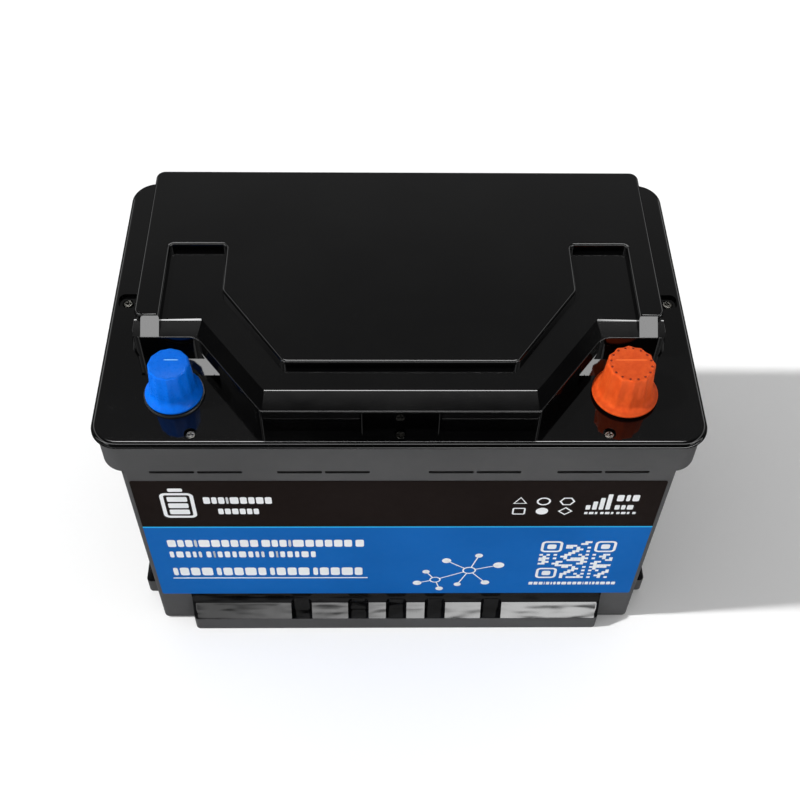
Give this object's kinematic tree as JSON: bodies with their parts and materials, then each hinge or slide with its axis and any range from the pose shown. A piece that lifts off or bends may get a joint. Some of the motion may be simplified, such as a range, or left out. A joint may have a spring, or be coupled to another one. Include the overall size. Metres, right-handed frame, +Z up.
{
  "type": "deep cycle battery",
  "caption": "Sealed lithium deep cycle battery in a standard case with stepped lid, tapered terminal posts under removable caps, front label and base hold-down rails.",
  "frame": {"origin": "centre of the case bottom, on the surface it stands on", "axes": "+X along the long side towards the positive terminal, +Y to the back, away from the terminals, +Z up"},
  "size_m": [0.278, 0.175, 0.192],
  "materials": {
    "case_plastic": "satin dark grey moulded polypropylene with a fine spark texture",
    "lid_plastic": "high gloss black moulded plastic",
    "blue_plastic": "semi-gloss blue polyethylene",
    "orange_plastic": "satin orange polyethylene",
    "label_film": "printed polyester film, blue below a near-black band",
    "post_metal": "tinned, dull silver",
    "steel": "zinc plated",
    "brass": "turned brass",
    "copper": "tinned copper",
    "terminal_alloy": "bare aluminium",
    "cell_can": "aluminium can in blue insulating film",
    "rubber_seal": "black EPDM rubber",
    "foam": "closed-cell foam",
    "insulating_sheet": "translucent white polycarbonate sheet",
    "glass_epoxy": "green glass epoxy sheet",
    "strap_band": "green polyester strapping",
    "circuit_board": "green solder mask",
    "chip_black": "moulded black epoxy",
    "thermal_grey": "grey silicone pad",
    "connector_white": "natural nylon",
    "cable_black": "black silicone insulation",
    "cable_red": "red silicone insulation",
    "lead_insulation": "thin stranded lead insulation"
  },
  "bodies": {
    "battery": {"balance_connector": "connector_white", "base_pads": "foam", "bluetooth_module": "circuit_board", "bms_board": "circuit_board", "bms_tray": "insulating_sheet", "board_screws": "steel", "cable_lugs": "copper", "capacitors": "terminal_alloy", "case": "case_plastic", "cell_1": "cell_can", "cell_2": "cell_can", "cell_3": "cell_can", "cell_4": "cell_can", "cell_insulators": "insulating_sheet", "cell_negative_cable": "cable_black", "cell_straps": "strap_band", "cell_terminals": "terminal_alloy", "cell_vents": "cell_can", "control_chips": "chip_black", "end_foam": "foam", "end_plates": "glass_epoxy", "front_label": "label_film", "heat_sink": "terminal_alloy", "lid": "lid_plastic", "lid_gasket": "rubber_seal", "lid_screws": "steel", "lug_screws": "steel", "mosfets": "chip_black", "negative_post": "post_metal", "pack_negative_cable": "cable_black", "positive_cable": "cable_red", "positive_post": "post_metal", "post_nuts": "steel", "post_seals": "rubber_seal", "post_washers": "steel", "power_blocks": "brass", "screw_inserts": "brass", "sense_leads": "lead_insulation", "sense_rings": "copper", "series_busbars": "terminal_alloy", "shunt_resistors": "copper", "side_foams": "foam", "temperature_sensor": "lead_insulation", "terminal_frame": "glass_epoxy", "terminal_nuts": "steel", "terminal_washers": "steel", "thermal_pad": "thermal_grey"},
    "negative_cover": {"negative_cap": "blue_plastic"},
    "positive_cover": {"positive_cap": "orange_plastic"}
  },
  "joints": [
    {"name": "negative_cap_lift", "type": "slide", "parent": "battery", "child": "negative_cover", "axis": [0, 0, 1], "range_m": [0, 0.03]},
    {"name": "positive_cap_lift", "type": "slide", "parent": "battery", "child": "positive_cover", "axis": [0, 0, 1], "range_m": [0, 0.03]}
  ]
}
